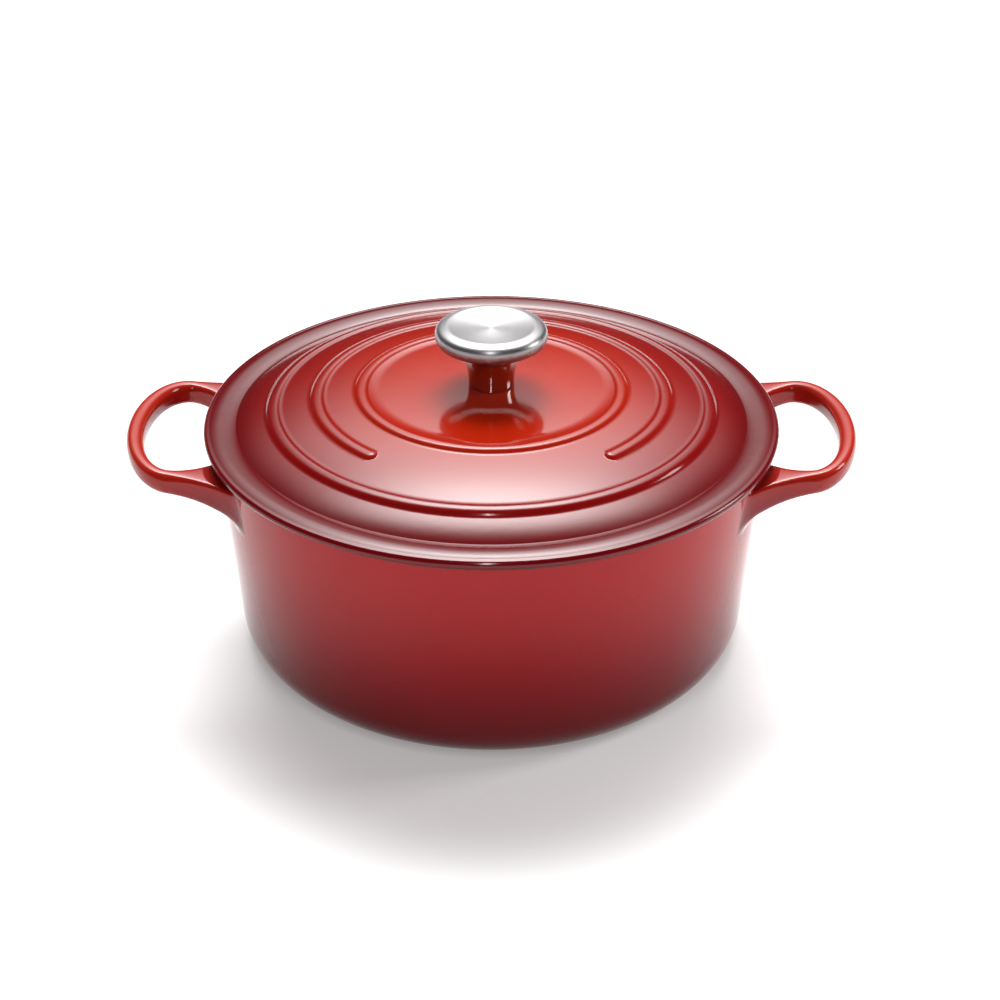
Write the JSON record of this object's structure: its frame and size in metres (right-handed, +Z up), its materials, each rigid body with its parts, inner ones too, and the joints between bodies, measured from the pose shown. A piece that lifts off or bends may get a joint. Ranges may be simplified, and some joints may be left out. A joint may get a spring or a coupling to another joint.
{
  "type": "dutch oven",
  "caption": "Round enamelled cast iron dutch oven: a deep pot with loop handles at its sides and a heavy domed lid with raised rings and a steel knob, for slow cooking on a hob or in an oven.",
  "frame": {"origin": "on the table, at the middle of the foot ring", "axes": "+Z up, X through both handles, -Y towards the gap in the lid's middle ring"},
  "size_m": [0.368, 0.289, 0.173],
  "materials": {
    "bare_iron": "rough",
    "red_enamel": "gloss, cherry red that deepens towards the edges",
    "sand_enamel": "gloss",
    "black_enamel": "matte",
    "brushed_stainless": "satin",
    "polished_stainless": "polished",
    "plain_stainless": "machined",
    "brass": "machined"
  },
  "bodies": {
    "pot": {"pot_casting": "bare_iron", "left_handle": "red_enamel", "right_handle": "red_enamel", "pot_exterior_enamel": "red_enamel", "pot_interior_enamel": "sand_enamel", "pot_rim_enamel": "black_enamel"},
    "lid": {"lid_casting": "bare_iron", "lid_exterior_enamel": "red_enamel", "lid_interior_enamel": "sand_enamel", "lid_rim_enamel": "black_enamel"},
    "knob": {"knob_cap": "brushed_stainless", "knob_neck": "polished_stainless", "knob_insert": "brass", "flat_washer": "plain_stainless", "lock_washer": "plain_stainless", "knob_screw": "plain_stainless"}
  },
  "joints": [
    {"name": "lid_lift", "type": "slide", "parent": "pot", "child": "lid", "axis": [0, 0, 1], "range_m": [0, 0.2]},
    {"name": "knob_turn", "type": "hinge", "parent": "lid", "child": "knob", "pos_m": [0, 0, 0.141], "axis": [0, 0, 1], "continuous": true}
  ]
}
